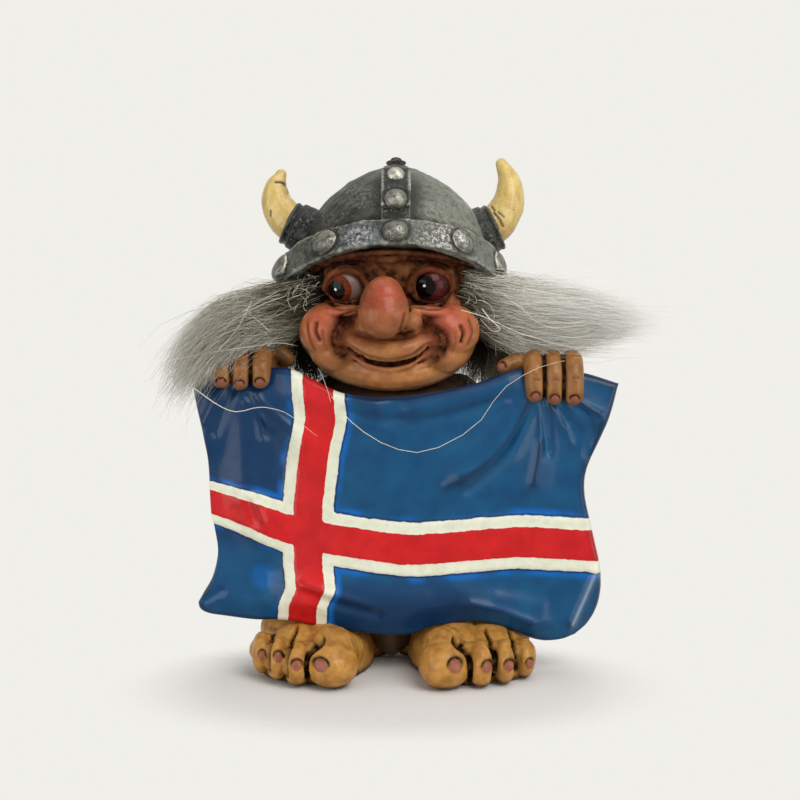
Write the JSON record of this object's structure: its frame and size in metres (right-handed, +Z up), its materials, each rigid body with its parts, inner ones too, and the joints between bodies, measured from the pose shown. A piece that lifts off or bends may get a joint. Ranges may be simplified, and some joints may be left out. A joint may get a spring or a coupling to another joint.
{
  "type": "norwegian troll figure",
  "caption": "Painted resin troll ornament with fur hair and a horned helmet, holding a draped flag in front of it and standing on bare feet.",
  "frame": {"origin": "on the floor under the middle of the figure's overall box", "axes": "+Z up, the face looks along -Y, +X towards the figure's own left hand"},
  "size_m": [0.103, 0.06, 0.1075],
  "materials": {
    "tunic": "dark brown painted resin, satin",
    "skin": "tan painted resin with a dark wash in the creases, lacquered",
    "eye": "painted eyeball, high gloss",
    "flag": "blue painted resin with a red cross edged in white, lacquered",
    "helmet": "resin painted as worn dark pewter, dry-brushed silver",
    "horn": "cream painted resin, lacquered",
    "fur": "long grey fur with pale tips"
  },
  "bodies": {
    "root": {"torso": "tunic", "left_arm": "tunic", "right_arm": "tunic", "left_leg": "tunic", "right_leg": "tunic", "head": "skin", "left_hand": "skin", "right_hand": "skin", "left_foot": "skin", "right_foot": "skin", "left_eye": "eye", "right_eye": "eye", "flag": "flag", "helmet_bowl": "helmet", "helmet_band": "helmet", "helmet_strap": "helmet", "helmet_finial": "helmet", "band_studs": "helmet", "strap_studs": "helmet", "left_horn_socket": "helmet", "right_horn_socket": "helmet", "left_horn": "horn", "right_horn": "horn", "left_hair": "fur", "right_hair": "fur", "back_hair": "fur"}
  },
  "joints": []
}
